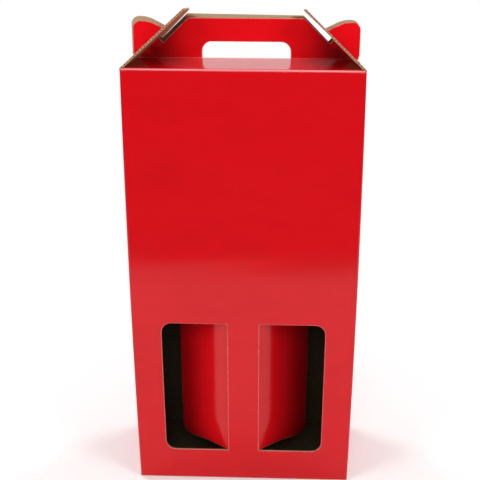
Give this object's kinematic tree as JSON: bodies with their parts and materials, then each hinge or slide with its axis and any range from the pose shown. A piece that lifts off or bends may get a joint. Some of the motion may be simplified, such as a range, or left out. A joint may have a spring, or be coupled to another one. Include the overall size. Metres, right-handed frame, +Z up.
{
  "type": "two-bottle carry box",
  "caption": "Upright carry box of corrugated board for two bottles, with a handle ridge, locking side flaps and two front windows with inward tabs.",
  "frame": {"origin": "middle of the base, on the surface that the box stands on", "axes": "+Z up, -Y out of the front with the windows, +X to the right seen from the front"},
  "size_m": [0.18, 0.09, 0.3914],
  "materials": {
    "carton_board": "gloss laminated red outside, plain brown inside",
    "flap_board": "gloss laminated red outside, plain brown inside"
  },
  "bodies": {
    "carton": {"carton": "carton_board"},
    "left_flap": {"left_side_flap": "flap_board"},
    "right_flap": {"right_side_flap": "flap_board"}
  },
  "joints": [
    {"name": "left_flap_hinge", "type": "hinge", "parent": "carton", "child": "left_flap", "pos_m": [-0.09, 0, 0.35], "axis": [0, -1, 0], "range_deg": [0, 200]},
    {"name": "right_flap_hinge", "type": "hinge", "parent": "carton", "child": "right_flap", "pos_m": [0.09, 0, 0.35], "axis": [0, 1, 0], "range_deg": [0, 200]}
  ]
}
